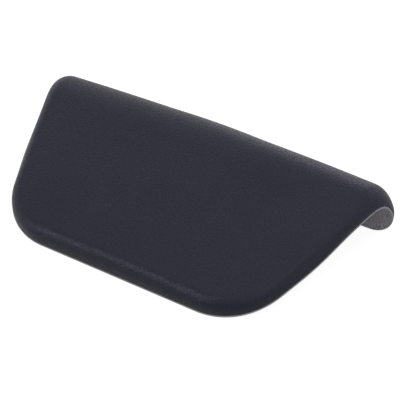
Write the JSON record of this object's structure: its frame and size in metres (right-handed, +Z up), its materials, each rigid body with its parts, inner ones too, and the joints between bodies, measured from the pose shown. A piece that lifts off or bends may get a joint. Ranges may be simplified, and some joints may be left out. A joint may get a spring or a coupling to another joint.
{
  "type": "bath pillow",
  "caption": "Moulded foam bath pillow: a wide padded leaf that bends over a tub rim into a short flap, with suction cups that turn in sockets behind it.",
  "frame": {"origin": "middle of the bounding box, at the bottom: the level of the front edge and of the flap's end, on which the pillow stands", "axes": "+X along the length of the ridge, -Y towards the bather and the front edge, +Y towards the flap, +Z up"},
  "size_m": [0.3318, 0.172, 0.0559],
  "materials": {
    "pad_skin": "matte fine-grained moulded skin",
    "foam": "open-cell foam",
    "backing": "mottled matte sheet",
    "socket_plastic": "satin moulding",
    "cup_pvc": "smooth, slightly translucent"
  },
  "bodies": {
    "pad": {"pad_skin": "pad_skin", "foam_core": "foam", "back_sheet": "backing", "cup_socket_1": "socket_plastic", "cup_socket_2": "socket_plastic", "cup_socket_3": "socket_plastic", "cup_socket_4": "socket_plastic"},
    "cup_1": {"suction_cup_1": "cup_pvc"},
    "cup_2": {"suction_cup_2": "cup_pvc"},
    "cup_3": {"suction_cup_3": "cup_pvc"},
    "cup_4": {"suction_cup_4": "cup_pvc"}
  },
  "joints": [
    {"name": "cup_1_swivel", "type": "hinge", "parent": "pad", "child": "cup_1", "pos_m": [-0.05285, -0.03015, 0.01537], "axis": [0, -0.2682, 0.9634], "continuous": true},
    {"name": "cup_2_swivel", "type": "hinge", "parent": "pad", "child": "cup_2", "pos_m": [0.05285, -0.03015, 0.01537], "axis": [0, -0.2682, 0.9634], "continuous": true},
    {"name": "cup_3_swivel", "type": "hinge", "parent": "pad", "child": "cup_3", "pos_m": [-0.10474, 0.01033, 0.02664], "axis": [0, -0.2682, 0.9634], "continuous": true},
    {"name": "cup_4_swivel", "type": "hinge", "parent": "pad", "child": "cup_4", "pos_m": [0.10474, 0.01033, 0.02664], "axis": [0, -0.2682, 0.9634], "continuous": true}
  ]
}
